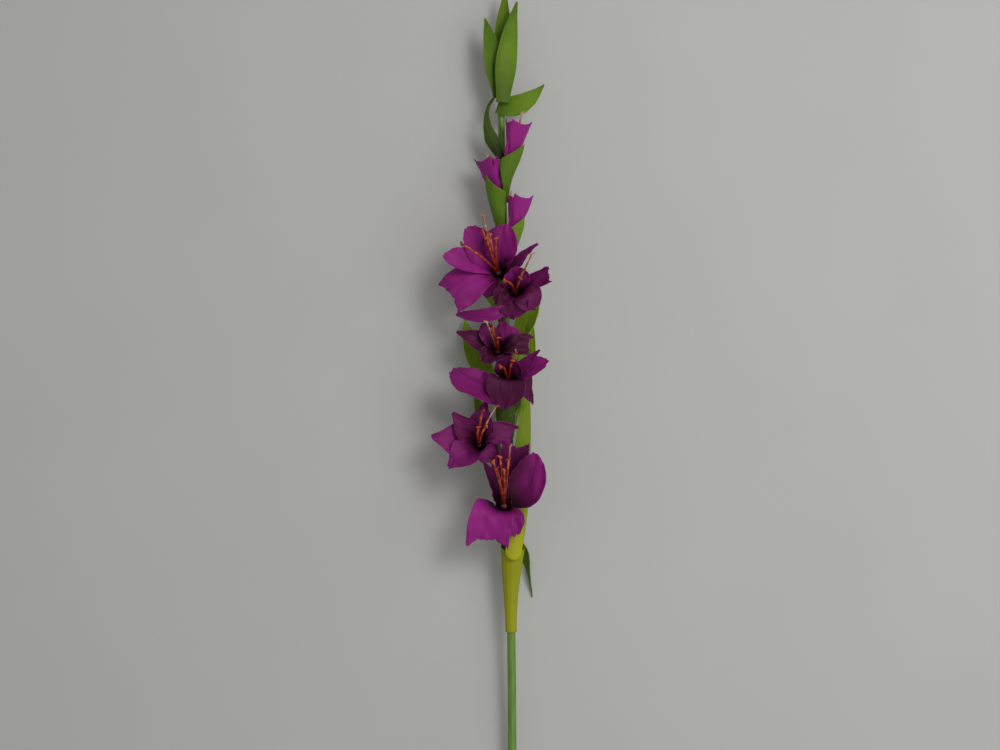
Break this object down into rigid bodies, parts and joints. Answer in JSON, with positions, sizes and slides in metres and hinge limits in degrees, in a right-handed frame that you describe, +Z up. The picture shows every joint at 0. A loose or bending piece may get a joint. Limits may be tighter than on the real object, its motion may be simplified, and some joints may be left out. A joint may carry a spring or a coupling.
{
  "type": "artificial gladiolus stem",
  "caption": "Artificial gladiolus stem lying on its back: purple cloth blooms and half-open buds up a plastic rod, with orange stamens, green bracts and a yellow-green sleeve.",
  "frame": {"origin": "on the surface that the stem lies on, under the middle of its box", "axes": "+Y along the stem from its cut end to its leafy tip, +Z up through the faces of the blooms, +X to the right when the tip points away from the viewer who looks down"},
  "size_m": [0.095, 0.8501, 0.0681],
  "materials": {
    "petal_cloth": "matt woven cloth, magenta purple with dark throats",
    "stamen_plastic": "matt moulded plastic, red-orange with pale tips",
    "leaf_cloth": "coated cloth with pressed veins, mid green",
    "sleeve_cloth": "coated cloth, yellow-green",
    "stem_plastic": "satin moulded plastic, light green",
    "wire_steel": "bare cut end of the wire"
  },
  "bodies": {
    "root": {"stem": "stem_plastic", "stem_wire": "wire_steel", "sleeve": "sleeve_cloth", "bloom_a": "petal_cloth", "bloom_b": "petal_cloth", "bloom_c": "petal_cloth", "bloom_d": "petal_cloth", "bloom_e": "petal_cloth", "bloom_f": "petal_cloth", "bud_1": "petal_cloth", "bud_2": "petal_cloth", "bud_3": "petal_cloth", "stamens_a": "stamen_plastic", "stamens_b": "stamen_plastic", "stamens_c": "stamen_plastic", "stamens_d": "stamen_plastic", "stamens_e": "stamen_plastic", "stamens_f": "stamen_plastic", "bud_stamens_1": "stamen_plastic", "bud_stamens_2": "stamen_plastic", "bud_stamens_3": "stamen_plastic", "bract_a": "leaf_cloth", "bract_b": "leaf_cloth", "bract_c": "leaf_cloth", "bract_d": "leaf_cloth", "bract_e": "leaf_cloth", "bract_f": "leaf_cloth", "bract_g": "leaf_cloth", "spathe_1": "leaf_cloth", "spathe_2": "leaf_cloth", "spathe_3": "leaf_cloth", "bowed_leaf": "leaf_cloth", "bent_leaf": "leaf_cloth", "back_leaf": "leaf_cloth", "tip_leaf_left": "leaf_cloth", "tip_leaf_right": "leaf_cloth", "tip_leaf_middle": "leaf_cloth"}
  },
  "joints": []
}
